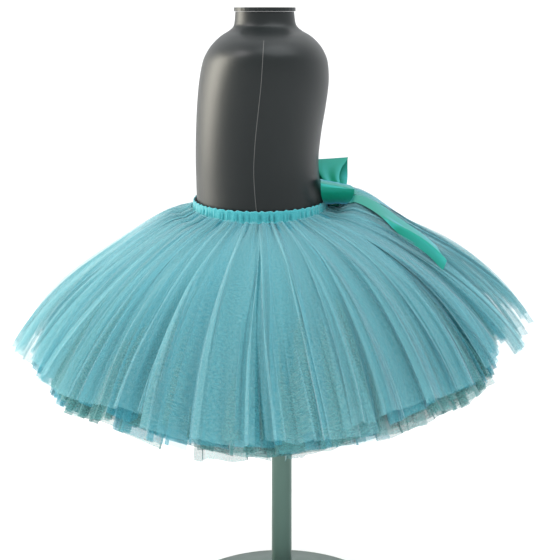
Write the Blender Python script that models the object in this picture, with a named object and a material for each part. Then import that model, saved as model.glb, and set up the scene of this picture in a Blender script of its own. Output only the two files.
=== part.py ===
"""Tutu skirt: three gathered tulle layers on an elastic casing, with a satin bow at the centre back.

The skirt is worn by a plain limbless child's dress form on a pole and a round base.
Metres, +Z up. The origin is the centre of the base's underside, and the form faces -Y.
"""

import math

import bpy
from mathutils import Vector

# Dress form. The skirt's top edge sits a little above the form's waist.
WAIST_HEIGHT = 0.500
SKIRT_RISE = 0.0055
WAIST_CENTRE_Y = -0.024
WAIST_HALF_WIDTH = 0.0850
WAIST_HALF_DEPTH = 0.0703
FORM_SIDES = 36
# Rows from the flat underside to the neck: height above the waist, front, back, half width,
# with front and back measured along Y from the waist's centre.
FORM_SECTIONS = (
    {"rise": -0.155, "front": -0.0480, "back": 0.0680, "half_width": 0.0600},
    {"rise": -0.152, "front": -0.0540, "back": 0.0740, "half_width": 0.0680},
    {"rise": -0.143, "front": -0.0610, "back": 0.0800, "half_width": 0.0780},
    {"rise": -0.125, "front": -0.0675, "back": 0.0845, "half_width": 0.0875},
    {"rise": -0.100, "front": -0.0722, "back": 0.0860, "half_width": 0.0930},
    {"rise": -0.070, "front": -0.0745, "back": 0.0835, "half_width": 0.0940},
    {"rise": -0.040, "front": -0.0735, "back": 0.0785, "half_width": 0.0910},
    {"rise": -0.014, "front": -0.0712, "back": 0.0720, "half_width": 0.0864},
    {"rise": 0.000, "front": -0.0703, "back": 0.0703, "half_width": 0.0850},
    {"rise": 0.025, "front": -0.0706, "back": 0.0662, "half_width": 0.0845},
    {"rise": 0.050, "front": -0.0708, "back": 0.0644, "half_width": 0.0856},
    {"rise": 0.080, "front": -0.0700, "back": 0.0672, "half_width": 0.0884},
    {"rise": 0.110, "front": -0.0682, "back": 0.0720, "half_width": 0.0925},
    {"rise": 0.135, "front": -0.0655, "back": 0.0748, "half_width": 0.0970},
    {"rise": 0.155, "front": -0.0615, "back": 0.0735, "half_width": 0.1000},
    {"rise": 0.167, "front": -0.0560, "back": 0.0690, "half_width": 0.0985},
    {"rise": 0.176, "front": -0.0490, "back": 0.0625, "half_width": 0.0890},
    {"rise": 0.183, "front": -0.0410, "back": 0.0545, "half_width": 0.0710},
    {"rise": 0.188, "front": -0.0330, "back": 0.0460, "half_width": 0.0500},
    {"rise": 0.192, "front": -0.0285, "back": 0.0410, "half_width": 0.0395},
    {"rise": 0.197, "front": -0.0268, "back": 0.0385, "half_width": 0.0360},
    {"rise": 0.208, "front": -0.0258, "back": 0.0372, "half_width": 0.0345},
)
NECK_CAP_THICKNESS = 0.004
NECK_CAP_OVERHANG = 0.0015

# Stand.
TOUCH_GAP = 0.0003
POLE_RADIUS = 0.012
POLE_SIDES = 24
SOCKET_RADIUS = POLE_RADIUS + TOUCH_GAP
BASE_RADIUS = 0.140
BASE_EDGE = 0.005
BASE_CROWN = 0.012
EDGE_ROUNDING = 0.0010
CROWN_FILLET = 0.004
SOCKET_FLOOR = 0.010
BOSS_RADIUS = 0.021
BOSS_TOP = 0.034
FLANGE_RADIUS = 0.042
FLANGE_THICKNESS = 0.006
SLEEVE_RADIUS = 0.018
SLEEVE_LENGTH = 0.030
LATHE_SIDES = 36

# Waistband: a gathered tulle casing over the elastic.
FORM_CLEARANCE = 0.0014
BAND_GATHERS = 60
GATHER_RELIEF = 0.0005
GATHER_VARIATION = 0.2
GATHER_VARIATION_STEP = 2.7
# Rows of the casing's outer face, top to bottom: distance below the top edge, thickness.
BAND_PROFILE = (
    {"drop": -0.0004, "thickness": 0.0020},
    {"drop": 0.0016, "thickness": 0.0034},
    {"drop": 0.0060, "thickness": 0.0040},
    {"drop": 0.0100, "thickness": 0.0036},
    {"drop": 0.0120, "thickness": 0.0024},
)

# Tulle layers, from the one on top to the one underneath. Angles are below the horizontal,
# in degrees: start is at the casing and end is at the hem, both at the wearer's side. Each is
# smaller by its lift at the centre back, and larger by it at the front. Side is what the cloth is
# longer by at the wearer's sides, and quarter what it is shorter by between side and front or back.
WALL = 0.0014
LAYERS = (
    {"name": "tulle_top_layer", "out": 0.0034, "drop": 0.0128, "start": 9.0, "start_lift": 6.0,
     "end": 55.0, "end_lift": 2.2, "length": 0.251, "side": 0.0, "quarter": 0.007,
     "pleats": 44, "hem_relief": 0.0115, "rows": 6, "turn": 0.0},
    {"name": "tulle_middle_layer", "out": 0.0026, "drop": 0.0152, "start": 19.0, "start_lift": 6.0,
     "end": 56.0, "end_lift": 3.0, "length": 0.240, "side": 0.016, "quarter": 0.003,
     "pleats": 36, "hem_relief": 0.0095, "rows": 5, "turn": 0.9},
    {"name": "tulle_under_layer", "out": 0.0014, "drop": 0.0178, "start": 31.0, "start_lift": 5.0,
     "end": 56.0, "end_lift": 3.5, "length": 0.228, "side": 0.026, "quarter": 0.0,
     "pleats": 30, "hem_relief": 0.0095, "rows": 5, "turn": 2.1},
)
SAMPLES_PER_PLEAT = 4
# Pleats differ in width and height by these shares; the steps are in radians a pleat.
PLEAT_WIDTH_RANGE = 0.22
PLEAT_WIDTH_STEP = 2.4
PLEAT_JITTER_RANGE = 0.12
PLEAT_JITTER_STEP = 5.3
PLEAT_HEIGHT_RANGE = 0.16
PLEAT_HEIGHT_STEP = 1.7
WAIST_RELIEF = 0.00025
BACK_LENGTHENING = 0.0064
HEM_WAVE = 0.004
HEM_WAVES = 7
ROW_CROWDING = 1.45

# Satin ribbon bow at the centre back.
RIBBON_WIDTH = 0.036
RIBBON_THICKNESS = 0.0010
RIBBON_PINCH = 0.011
KNOT_RISE = 0.0045
KNOT_HALF = Vector((0.0075, 0.0068, 0.0125))
KNOT_SQUARENESS = 0.5
KNOT_END_SHARE = 0.85
KNOT_LEVELS = 7
KNOT_SIDES = 18
LOOP_STATIONS = 18
LOOP_FULLNESS = 0.62
LOOP_ROOT_RISE = 0.0085
LOOP_ROOT_GAP = 0.0021
# Rows: side is +1 for the loop on +X. Rise and tilt are in degrees.
LOOPS = (
    {"name": "bow_loop_left", "side": 1.0, "reach": 0.050, "half_height": 0.0118,
     "rise": 0.0, "tilt": -8.0},
    {"name": "bow_loop_right", "side": -1.0, "reach": 0.048, "half_height": 0.0125,
     "rise": 21.0, "tilt": 5.0},
)
# Rows: spread is how far round from the centre back the end lies, in degrees.
TAILS = (
    {"name": "bow_tail_left", "side": 1.0, "length": 0.118, "spread": 23.0, "slant": -0.012},
    {"name": "bow_tail_right", "side": -1.0, "length": 0.106, "spread": 19.0, "slant": -0.012},
)
TAIL_STATIONS = 14
TAIL_START = 0.0128
TAIL_OFFSET = 0.0072
TAIL_GAP = 0.0006
TAIL_RISE = 0.0150
TAIL_SETTLE = 0.030
TAIL_FLARE = 0.45
TAIL_RADIUS_GROWTH = 0.62

TULLE_COLOUR = (0.14, 0.52, 0.55, 1.0)
SATIN_COLOUR = (0.01, 0.33, 0.21, 1.0)
FORM_COLOUR = (0.10, 0.105, 0.10, 1.0)
STEEL_COLOUR = (0.42, 0.44, 0.43, 1.0)


def material(name, colour, roughness, metallic=0.0):
    made = bpy.data.materials.new(name)
    made.use_nodes = True
    shader = made.node_tree.nodes["Principled BSDF"]
    shader.inputs["Base Color"].default_value = colour
    shader.inputs["Roughness"].default_value = roughness
    shader.inputs["Metallic"].default_value = metallic
    return made


def add_object(name, points, faces, finish):
    """One named object from points and faces, smooth but for its sharp edges."""
    mesh = bpy.data.meshes.new(name)
    mesh.from_pydata([tuple(point) for point in points], [], faces)
    mesh.materials.append(finish)
    mesh.shade_smooth()
    mesh.set_sharp_from_angle(angle=math.radians(50))
    mesh.update()
    made = bpy.data.objects.new(name, mesh)
    bpy.context.scene.collection.objects.link(made)
    return made


def loft(name, rings, finish):
    """A solid through horizontal rings listed from the lowest to the highest, closed by flat ends."""
    count = len(rings[0])
    faces = [tuple(reversed(range(count)))]
    for level in range(len(rings) - 1):
        low = level * count
        for i in range(count):
            j = (i + 1) % count
            faces.append((low + i, low + j, low + count + j, low + count + i))
    last = (len(rings) - 1) * count
    faces.append(tuple(range(last, last + count)))
    return add_object(name, [point for ring in rings for point in ring], faces, finish)


def turned(name, profile, finish):
    """A solid turned about the Z axis, from (radius, height) points that start and end on the axis."""
    points = [Vector((0.0, 0.0, profile[0][1]))]
    for radius, height in profile[1:-1]:
        for i in range(LATHE_SIDES):
            angle = math.tau * i / LATHE_SIDES
            points.append(Vector((radius * math.cos(angle), radius * math.sin(angle), height)))
    points.append(Vector((0.0, 0.0, profile[-1][1])))
    rings = len(profile) - 2
    faces = []
    for i in range(LATHE_SIDES):
        j = (i + 1) % LATHE_SIDES
        faces.append((0, 1 + j, 1 + i))
        for ring in range(rings - 1):
            low = 1 + ring * LATHE_SIDES
            high = low + LATHE_SIDES
            faces.append((low + i, low + j, high + j, high + i))
        top = 1 + (rings - 1) * LATHE_SIDES
        faces.append((top + i, top + j, len(points) - 1))
    return add_object(name, points, faces, finish)


def wall(name, outer, inner, finish, around):
    """A closed wall between two grids of the same size, split along the same diagonals.

    A grid is a list of lines of points. With around, the last line joins the first.
    """
    lines = len(outer)
    rows = len(outer[0])
    shift = lines * rows
    points = [point for line in outer for point in line]
    points += [point for line in inner for point in line]
    faces = []
    for i in range(lines if around else lines - 1):
        here = i * rows
        there = (i + 1) % lines * rows
        for j in range(rows - 1):
            a, b, c, d = here + j, there + j, there + j + 1, here + j + 1
            pair = ((a, b, c), (a, c, d)) if i % 2 else ((a, b, d), (b, c, d))
            for face in pair:
                faces.append(tuple(reversed(face)))
                faces.append(tuple(corner + shift for corner in face))
        for first, second in ((here, there), (there + rows - 1, here + rows - 1)):
            faces.append((first, second, second + shift, first + shift))
    if not around:
        last = (lines - 1) * rows
        for j in range(rows - 1):
            faces.append((j + 1, j, j + shift, j + 1 + shift))
            faces.append((last + j, last + j + 1, last + j + 1 + shift, last + j + shift))
    return add_object(name, points, faces, finish)


def grid_normals(grid, around):
    """Unit normals of a grid of points, by differences between neighbours."""
    lines = len(grid)
    rows = len(grid[0])
    normals = []
    for i in range(lines):
        before = grid[i - 1] if around or i > 0 else grid[i]
        after = grid[(i + 1) % lines] if around or i < lines - 1 else grid[i]
        line = []
        for j in range(rows):
            across = after[j] - before[j]
            along = grid[i][min(j + 1, rows - 1)] - grid[i][max(j - 1, 0)]
            line.append(along.cross(across).normalized())
        normals.append(line)
    return normals


def offset_grid(grid, distance, around):
    """The grid moved along its own normals."""
    normals = grid_normals(grid, around)
    return [
        [point + normal * distance for point, normal in zip(line, across)]
        for line, across in zip(grid, normals)
    ]


def form_ring(section):
    """The ellipse of one row of the form."""
    middle = (section["front"] + section["back"]) / 2
    half_depth = (section["back"] - section["front"]) / 2
    ring = []
    for i in range(FORM_SIDES):
        angle = math.tau * i / FORM_SIDES
        x = section["half_width"] * math.cos(angle)
        y = WAIST_CENTRE_Y + middle + half_depth * math.sin(angle)
        ring.append(Vector((x, y, WAIST_HEIGHT + section["rise"])))
    return ring


def waist_frame(angle):
    """A point on the skirt's top edge, grown to clear the form, and the direction straight out of it."""
    point = Vector((WAIST_HALF_WIDTH * math.cos(angle), WAIST_HALF_DEPTH * math.sin(angle), 0.0))
    out = Vector((math.cos(angle) / WAIST_HALF_WIDTH, math.sin(angle) / WAIST_HALF_DEPTH, 0.0))
    out.normalize()
    centre = Vector((0.0, WAIST_CENTRE_Y, WAIST_HEIGHT + SKIRT_RISE))
    return centre + point + out * FORM_CLEARANCE, out


def layer_point(layer, angle, share):
    """A point on the middle of a layer and its upward normal. share is 0 at the casing and 1 at the hem."""
    waist, out = waist_frame(angle)
    length = layer["length"] + BACK_LENGTHENING * math.sin(angle)
    length += layer["side"] * math.cos(angle) ** 2 - layer["quarter"] * math.sin(2 * angle) ** 2
    length += HEM_WAVE * math.sin(HEM_WAVES * angle + layer["turn"]) * share
    first = math.radians(layer["start"] - layer["start_lift"] * math.sin(angle))
    last = math.radians(layer["end"] - layer["end_lift"] * math.sin(angle))
    here = first + (last - first) * share
    run = length * (math.sin(here) - math.sin(first)) / (last - first)
    fall = length * (math.cos(first) - math.cos(here)) / (last - first)
    point = waist + out * (layer["out"] + run)
    point.z -= layer["drop"] + fall
    normal = out * math.sin(here) + Vector((0.0, 0.0, math.cos(here)))
    return point, normal


def pleat_edges(layer):
    """The angle at which each pleat starts, with uneven widths that add up to a full turn."""
    widths = [
        1
        + PLEAT_WIDTH_RANGE * math.sin(PLEAT_WIDTH_STEP * k + layer["turn"])
        + PLEAT_JITTER_RANGE * math.sin(PLEAT_JITTER_STEP * k)
        for k in range(layer["pleats"])
    ]
    scale = math.tau / sum(widths)
    edges = [0.0]
    for width in widths:
        edges.append(edges[-1] + width * scale)
    return edges


def relief(layer, share):
    """How far a pleat stands out of the layer's middle."""
    return WAIST_RELIEF + layer["hem_relief"] * share


def pleated_grid(layer):
    """The outer points of a pleated layer, one line down the skirt for each sample of each pleat."""
    edges = pleat_edges(layer)
    shares = [(row / (layer["rows"] - 1)) ** ROW_CROWDING for row in range(layer["rows"])]
    grid = []
    for k in range(layer["pleats"]):
        height = 1 - PLEAT_HEIGHT_RANGE * (1 - math.sin(PLEAT_HEIGHT_STEP * k + layer["turn"]))
        for sample in range(SAMPLES_PER_PLEAT):
            phase = sample / SAMPLES_PER_PLEAT
            angle = edges[k] + (edges[k + 1] - edges[k]) * phase + layer["turn"]
            wave = math.sin(math.tau * phase) * height
            line = []
            for share in shares:
                point, normal = layer_point(layer, angle, share)
                line.append(point + normal * (relief(layer, share) * wave + WALL / 2))
            grid.append(line)
    return grid


def build_form(finish, cap_finish):
    rings = [form_ring(section) for section in FORM_SECTIONS]
    loft("dress_form", rings, finish)
    top = FORM_SECTIONS[-1]
    grown = {
        "front": top["front"] - NECK_CAP_OVERHANG,
        "back": top["back"] + NECK_CAP_OVERHANG,
        "half_width": top["half_width"] + NECK_CAP_OVERHANG,
    }
    low = top["rise"] + TOUCH_GAP
    cap_rings = [form_ring({**grown, "rise": low}), form_ring({**grown, "rise": low + NECK_CAP_THICKNESS})]
    loft("neck_cap", cap_rings, cap_finish)


def build_stand(finish):
    underside = WAIST_HEIGHT + FORM_SECTIONS[0]["rise"]
    flange_top = underside - TOUCH_GAP
    socket_roof = flange_top - FLANGE_THICKNESS
    turned("stand_base", [
        (0.0, 0.0),
        (BASE_RADIUS - EDGE_ROUNDING, 0.0),
        (BASE_RADIUS, EDGE_ROUNDING),
        (BASE_RADIUS, BASE_EDGE - EDGE_ROUNDING),
        (BASE_RADIUS - EDGE_ROUNDING, BASE_EDGE),
        (BOSS_RADIUS + CROWN_FILLET, BASE_CROWN),
        (BOSS_RADIUS, BASE_CROWN + CROWN_FILLET),
        (BOSS_RADIUS, BOSS_TOP - EDGE_ROUNDING),
        (BOSS_RADIUS - EDGE_ROUNDING, BOSS_TOP),
        (SOCKET_RADIUS, BOSS_TOP),
        (SOCKET_RADIUS, SOCKET_FLOOR),
        (0.0, SOCKET_FLOOR),
    ], finish)
    turned("form_flange", [
        (0.0, socket_roof),
        (SOCKET_RADIUS, socket_roof),
        (SOCKET_RADIUS, socket_roof - SLEEVE_LENGTH),
        (SLEEVE_RADIUS, socket_roof - SLEEVE_LENGTH),
        (SLEEVE_RADIUS, socket_roof),
        (FLANGE_RADIUS, socket_roof),
        (FLANGE_RADIUS, flange_top),
        (0.0, flange_top),
    ], finish)
    low = SOCKET_FLOOR + TOUCH_GAP
    high = socket_roof - TOUCH_GAP
    rings = [
        [
            Vector((
                POLE_RADIUS * math.cos(math.tau * i / POLE_SIDES),
                POLE_RADIUS * math.sin(math.tau * i / POLE_SIDES),
                height,
            ))
            for i in range(POLE_SIDES)
        ]
        for height in (low, high)
    ]
    loft("pole", rings, finish)


def build_waistband(finish):
    """The casing: a plain inner face, and an outer face raised in narrow gathers."""
    outer = []
    inner = []
    for i in range(2 * BAND_GATHERS):
        angle = math.tau * i / (2 * BAND_GATHERS)
        waist, out = waist_frame(angle)
        share = 1 - GATHER_VARIATION * (1 - math.sin(GATHER_VARIATION_STEP * i))
        raised = GATHER_RELIEF * share * (1 if i % 2 else -1)
        outer.append([
            waist + out * (row["thickness"] + raised) - Vector((0.0, 0.0, row["drop"]))
            for row in BAND_PROFILE
        ])
        inner.append([
            waist - Vector((0.0, 0.0, max(0.0, row["drop"])))
            for row in BAND_PROFILE
        ])
    wall("waistband", outer, inner, finish, around=True)


def build_layers(finish):
    for layer in LAYERS:
        outer = pleated_grid(layer)
        inner = offset_grid(outer, -WALL, around=True)
        wall(layer["name"], outer, inner, finish, around=True)


def knot_centre():
    """The knot sits against the casing's shoulder at the centre back."""
    waist, out = waist_frame(math.pi / 2)
    shoulder = (BAND_PROFILE[1]["thickness"] + BAND_PROFILE[2]["thickness"]) / 2
    return waist + out * (shoulder + TOUCH_GAP + KNOT_HALF.y) + Vector((0.0, 0.0, KNOT_RISE))


def rounded(value):
    """A sine or cosine drawn towards a square."""
    return math.copysign(abs(value) ** KNOT_SQUARENESS, value)


def build_knot(finish):
    """A rounded pillow, squeezed at the sides where the loops enter."""
    centre = knot_centre()
    rings = []
    for level in range(KNOT_LEVELS):
        across = -1 + 2 * level / (KNOT_LEVELS - 1)
        swell = KNOT_END_SHARE + (1 - KNOT_END_SHARE) * math.sqrt(max(0.0, 1 - across ** 2))
        ring = []
        for i in range(KNOT_SIDES):
            angle = math.tau * i / KNOT_SIDES
            y = rounded(math.cos(angle)) * KNOT_HALF.y * swell
            z = rounded(math.sin(angle)) * KNOT_HALF.z * swell
            ring.append(centre + Vector((across * KNOT_HALF.x, y, z)))
        rings.append(ring)
    loft("bow_knot", rings, finish)


def build_loop(loop, finish):
    """A ribbon that leaves the knot, rounds its end and comes back under itself."""
    root = knot_centre() + Vector((0.0, 0.0, LOOP_ROOT_RISE))
    rise = math.radians(loop["rise"])
    tilt = math.radians(loop["tilt"])
    near = KNOT_HALF.x + TOUCH_GAP + RIBBON_THICKNESS / 2
    grid = []
    for station in range(LOOP_STATIONS):
        turn = station / (LOOP_STATIONS - 1)
        bulge = max(0.0, math.sin(math.pi * turn)) ** LOOP_FULLNESS
        reach = (loop["reach"] - near) * bulge
        height = loop["half_height"] * math.sin(math.tau * turn) + LOOP_ROOT_GAP * (1 - 2 * turn)
        x = near + reach * math.cos(rise) - height * math.sin(rise) * bulge
        z = reach * math.sin(rise) + height * (1 - (1 - math.cos(rise)) * bulge)
        path = root + Vector((loop["side"] * x, 0.0, z))
        width = RIBBON_PINCH + (RIBBON_WIDTH - RIBBON_PINCH) * bulge
        across = Vector((0.0, math.cos(tilt * bulge), math.sin(tilt * bulge)))
        grid.append([path + across * width * (j / 2 - 0.5) for j in range(3)])
    half = RIBBON_THICKNESS / 2
    wall(loop["name"], offset_grid(grid, half, False), offset_grid(grid, -half, False), finish, around=False)


def build_tail(tail, finish):
    """A ribbon end that lies on the crests of the top layer, cut on a slant."""
    layer = LAYERS[0]
    grid = []
    for station in range(TAIL_STATIONS):
        along = station / (TAIL_STATIONS - 1)
        width = RIBBON_PINCH + (RIBBON_WIDTH - RIBBON_PINCH) * min(1.0, along / TAIL_FLARE)
        line = []
        for j in range(5):
            across = 0.5 - j / 4
            distance = TAIL_START + along * (tail["length"] + tail["side"] * tail["slant"] * across * 2)
            share = distance / layer["length"]
            radius = WAIST_HALF_WIDTH + distance
            away = math.radians(tail["spread"]) * along + TAIL_OFFSET / radius
            curve = WAIST_HALF_WIDTH + TAIL_RADIUS_GROWTH * distance
            angle = math.pi / 2 - tail["side"] * away + across * width / curve
            point, normal = layer_point(layer, angle, share)
            clearance = relief(layer, share) + WALL / 2 + TAIL_GAP
            clearance += TAIL_RISE * math.exp((TAIL_START - distance) / TAIL_SETTLE)
            line.append(point + normal * clearance)
        grid.append(line)
    wall(tail["name"], offset_grid(grid, RIBBON_THICKNESS, False), grid, finish, around=False)


def main():
    for old in list(bpy.data.objects):
        bpy.data.objects.remove(old)
    tulle = material("tulle", TULLE_COLOUR, 0.7)
    satin = material("satin", SATIN_COLOUR, 0.32)
    cover = material("form_cover", FORM_COLOUR, 0.5)
    steel = material("steel", STEEL_COLOUR, 0.3, metallic=1.0)
    build_form(cover, cover)
    build_stand(steel)
    build_waistband(tulle)
    build_layers(tulle)
    build_knot(satin)
    for loop in LOOPS:
        build_loop(loop, satin)
    for tail in TAILS:
        build_tail(tail, satin)


main()
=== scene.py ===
"""Looks of the tutu skirt: fine tulle plies, a gathered casing, a satin bow and a smooth dress form."""

import math

import bpy
import numpy as np
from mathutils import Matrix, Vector


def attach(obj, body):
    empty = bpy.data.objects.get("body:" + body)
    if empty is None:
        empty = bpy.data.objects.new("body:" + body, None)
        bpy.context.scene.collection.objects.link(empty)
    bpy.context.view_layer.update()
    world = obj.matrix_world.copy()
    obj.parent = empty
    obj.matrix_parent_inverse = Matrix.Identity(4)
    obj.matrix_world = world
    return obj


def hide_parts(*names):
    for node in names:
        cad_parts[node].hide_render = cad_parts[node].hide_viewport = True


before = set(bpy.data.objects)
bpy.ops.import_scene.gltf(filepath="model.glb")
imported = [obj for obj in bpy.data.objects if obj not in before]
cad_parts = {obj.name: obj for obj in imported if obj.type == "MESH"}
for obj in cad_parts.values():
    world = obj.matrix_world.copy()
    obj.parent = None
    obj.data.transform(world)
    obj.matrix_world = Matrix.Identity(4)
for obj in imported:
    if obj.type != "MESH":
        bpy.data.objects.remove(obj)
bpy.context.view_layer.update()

TAU = math.tau

# The skirt's shape, as in the part. Start and end are angles below the horizontal in degrees, at the
# casing and at the hem. Their lifts are how much smaller they are behind, and larger in front. Side is
# what the cloth is longer by at the wearer's sides, and quarter what it is shorter by between side and
# front or back. Front and back are a little more length that only the strips have there.
WAIST_HEIGHT = 0.500
SKIRT_RISE = 0.0055
WAIST_CENTRE_Y = -0.024
WAIST_HALF_WIDTH = 0.0850
WAIST_HALF_DEPTH = 0.0703
FORM_CLEARANCE = 0.0014
BACK_LENGTHENING = 0.0064
END_SHARPNESS = 6
HEM_WAVE = 0.004
HEM_WAVES = 7
WAIST_RELIEF = 0.00025
LAYERS = {
    "top": {"out": 0.0034, "drop": 0.0128, "start": 9.0, "start_lift": 6.0, "end": 55.0,
            "end_lift": 2.2, "length": 0.251, "side": 0.0, "quarter": 0.007, "front": 0.006,
            "back": 0.009, "pleats": 44, "hem_relief": 0.0115, "turn": 0.0},
    "middle": {"out": 0.0026, "drop": 0.0152, "start": 19.0, "start_lift": 6.0, "end": 56.0,
               "end_lift": 3.0, "length": 0.240, "side": 0.016, "quarter": 0.003, "front": 0.010,
               "back": 0.0, "pleats": 36, "hem_relief": 0.0095, "turn": 0.9},
    "under": {"out": 0.0014, "drop": 0.0178, "start": 31.0, "start_lift": 5.0, "end": 56.0,
              "end_lift": 3.5, "length": 0.228, "side": 0.026, "quarter": 0.0, "front": 0.012,
              "back": 0.0, "pleats": 30, "hem_relief": 0.0095, "turn": 2.1},
}
LAYER_ORDER = ("top", "middle", "under")
PLEAT_WIDTH_RANGE = 0.22
PLEAT_WIDTH_STEP = 2.4
PLEAT_JITTER_RANGE = 0.12
PLEAT_JITTER_STEP = 5.3
PLEAT_HEIGHT_RANGE = 0.16
PLEAT_HEIGHT_STEP = 1.7

# Tulle plies, from the sheer one on top to the lowest. Depth is 0 at the top layer, 1 at the middle one
# and 2 at the under one. A ply with no pleats of its own keeps the part's, and lines are the narrow folds
# in each pleat. Columns are the points across a strip. Droop and dip are how much deeper the ends hang at
# the wearer's sides, and at the front and back. Scatter is how far a strip's end strays in depth, and
# stray how far it lifts, in metres. Relief and overlap are the height and the fold of its pleats, as
# shares. Flat is the strips' width in all, in metres.
PLIES = (
    {"name": "tulle_top_sheer", "replaces": "tulle_top_layer", "depth": 0.0, "finish": "sheer",
     "flat": 2.20, "pleats": 0, "strips": 22, "columns": 126, "lines": 4, "seed": 11,
     "droop": 1.05, "dip": 0.0, "scatter": 0.30, "relief": 0.64, "overlap": 1.35, "stray": 0.0040},
    {"name": "tulle_top_second", "replaces": "", "depth": 0.42, "finish": "dense", "flat": 2.40,
     "pleats": 62, "strips": 24, "columns": 84, "lines": 2, "seed": 23,
     "droop": 1.20, "dip": 0.65, "scatter": 0.30, "relief": 0.48, "overlap": 1.6, "stray": 0.0015},
    {"name": "tulle_top_third", "replaces": "", "depth": 0.72, "finish": "lower", "flat": 2.20,
     "pleats": 52, "strips": 22, "columns": 84, "lines": 2, "seed": 37,
     "droop": 1.05, "dip": 0.95, "scatter": 0.30, "relief": 0.52, "overlap": 1.7, "stray": 0.0015},
    {"name": "tulle_middle_first", "replaces": "tulle_middle_layer", "depth": 1.0, "finish": "lower",
     "flat": 2.10, "pleats": 0, "strips": 20, "columns": 54, "lines": 0, "seed": 41,
     "droop": 0.75, "dip": 0.60, "scatter": 0.22, "relief": 1.00, "overlap": 1.6, "stray": 0.0015},
    {"name": "tulle_middle_second", "replaces": "", "depth": 1.38, "finish": "lower", "flat": 2.20,
     "pleats": 56, "strips": 23, "columns": 54, "lines": 0, "seed": 53,
     "droop": 0.40, "dip": 0.20, "scatter": 0.28, "relief": 0.80, "overlap": 1.8, "stray": 0.0015},
    {"name": "tulle_under_first", "replaces": "tulle_under_layer", "depth": 1.98, "finish": "lower",
     "flat": 1.90, "pleats": 0, "strips": 18, "columns": 54, "lines": 0, "seed": 67,
     "droop": 0.0, "dip": 0.0, "scatter": 0.10, "relief": 1.00, "overlap": 1.5, "stray": 0.0015},
    {"name": "tulle_under_second", "replaces": "", "depth": 1.72, "finish": "lower", "flat": 2.00,
     "pleats": 48, "strips": 20, "columns": 54, "lines": 0, "seed": 79,
     "droop": 0.30, "dip": 0.20, "scatter": 0.22, "relief": 0.80, "overlap": 1.8, "stray": 0.0015},
)
STRIP_ROWS = 30
ROW_CROWDING = 1.1
DEEPEST_END = 2.15
DROOP_POWER = 1.5
UV_STEP = 0.31

# What differs by chance, as lowest and highest values. Onsets are where on the way down a pleat, its
# half pleats and its lines begin. Fold, swell and line fold are shares of the full fold and height.
# Width and spread are shares of a strip's width, cut and slant are shares of its length, and lean is how
# far it swings round the waist, in degrees. Ripples are waves in each pleat. Lift and end are shares of
# the ply's stray and scatter.
FREE_PLEAT_WIDTH = (0.55, 1.5)
FREE_PLEAT_HEIGHT = (0.55, 1.0)
PLEAT_CHANCE = {
    "onset": (0.0, 0.45),
    "half_onset": (0.15, 0.55),
    "fold": (0.25, 1.2),
    "swell": (0.5, 1.2),
    "line_fold": (0.5, 1.8),
    "line_onset": (0.0, 0.5),
}
ONSET_POWER = 1.3
STRIP_CHANCE = {
    "width": (1.04, 1.24),
    "cut": (-0.045, 0.020),
    "slant": (-0.020, 0.020),
    "spread": (-0.16, 0.08),
    "lean": (-3.2, 3.2),
    "sway_phase": (0, TAU),
    "ripples": (3.0, 4.2),
    "ripple_phase": (0, TAU),
    "lift": (-1.0, 1.0),
    "end": (-0.6, 1.4),
}

# Folds of a strip. Pleats lie closely folded at the casing and open to their own fold on the way down.
# Eases are the shares of the length over which a fold grows, and drifts make a row of folds uneven.
GATHER_FOLD = 2.1
FOLD_OPEN = 0.6
SWAY = math.radians(0.8)
SWAY_STEP = 5.0
PLEAT_FULL = 1.1
HALF_PLEAT = 0.28
HALF_PLEAT_STEP = 1.3
RIPPLE = 0.10
RIPPLE_EASE = 0.5
LINE_RISE = 0.0009
LINE_DRIFT = 1.4
LINE_DRIFT_STEP = 2.3
LINE_EASE = 0.25

# Gathers at the casing: how many, drifts as weight, times round the waist and phase, and depths in metres
# with the share of the length that each reaches. The casing holds them down at its edge.
GATHERS = 104
GATHER_DRIFTS = ((1.6, 9, 0.0), (1.1, 23, 1.0))
GATHER_DEPTHS = ((0.0021, 0.10), (0.0004, 0.30))
GATHER_HELD = 0.35
GATHER_RELEASE = 0.03
START_RISE = 0.0032
START_REACH = 0.06

# Slits where the gathers part, as lowest and highest values. Gap and width are in radians round the
# waist, strength is a share of the full depth, and reach is the share of the length that they run down.
SLIT_SEED = 5
SLIT_GAP = (0.045, 0.15)
SLIT_WIDTH = (0.008, 0.016)
SLIT_STRENGTH = (0.2, 1.0)
SLIT_REACH = (0.03, 0.14)
SLIT_DEPTH = 0.0030

# Main creases of the side that shows. Angle is round the waist in degrees, from the
# wearer's left towards the back. Front and back are the crease's reach on either side in degrees, rise is
# its height at the hem in metres, and start is where it begins on the way down. The hidden side has them
# too, turned round the waist.
HIDDEN_SIDE_TURN = 187.0
CREASE_EASE = 0.5
CREASED_DEPTH = 0.8
CREASES = (
    {"angle": -10.2, "front": 0.5, "back": 3.4, "rise": 0.0060, "start": 0.04},
    {"angle": -2.2, "front": 0.7, "back": 0.7, "rise": 0.0048, "start": 0.10},
    {"angle": 0.7, "front": 0.6, "back": 0.9, "rise": 0.0050, "start": 0.06},
    {"angle": 6.4, "front": 1.6, "back": 0.5, "rise": -0.0080, "start": 0.45},
    {"angle": 8.2, "front": 0.6, "back": 3.0, "rise": 0.0075, "start": 0.03},
    {"angle": 17.5, "front": 0.5, "back": 1.2, "rise": -0.0070, "start": 0.50},
    {"angle": 20.6, "front": 0.8, "back": 2.6, "rise": 0.0045, "start": 0.05},
    {"angle": -20.0, "front": 0.9, "back": 3.6, "rise": 0.0055, "start": 0.15},
    {"angle": -31.0, "front": 0.8, "back": 3.0, "rise": 0.0050, "start": 0.25},
    {"angle": 33.0, "front": 3.2, "back": 0.8, "rise": 0.0055, "start": 0.20},
    {"angle": 46.0, "front": 2.8, "back": 1.0, "rise": 0.0050, "start": 0.30},
)

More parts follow.
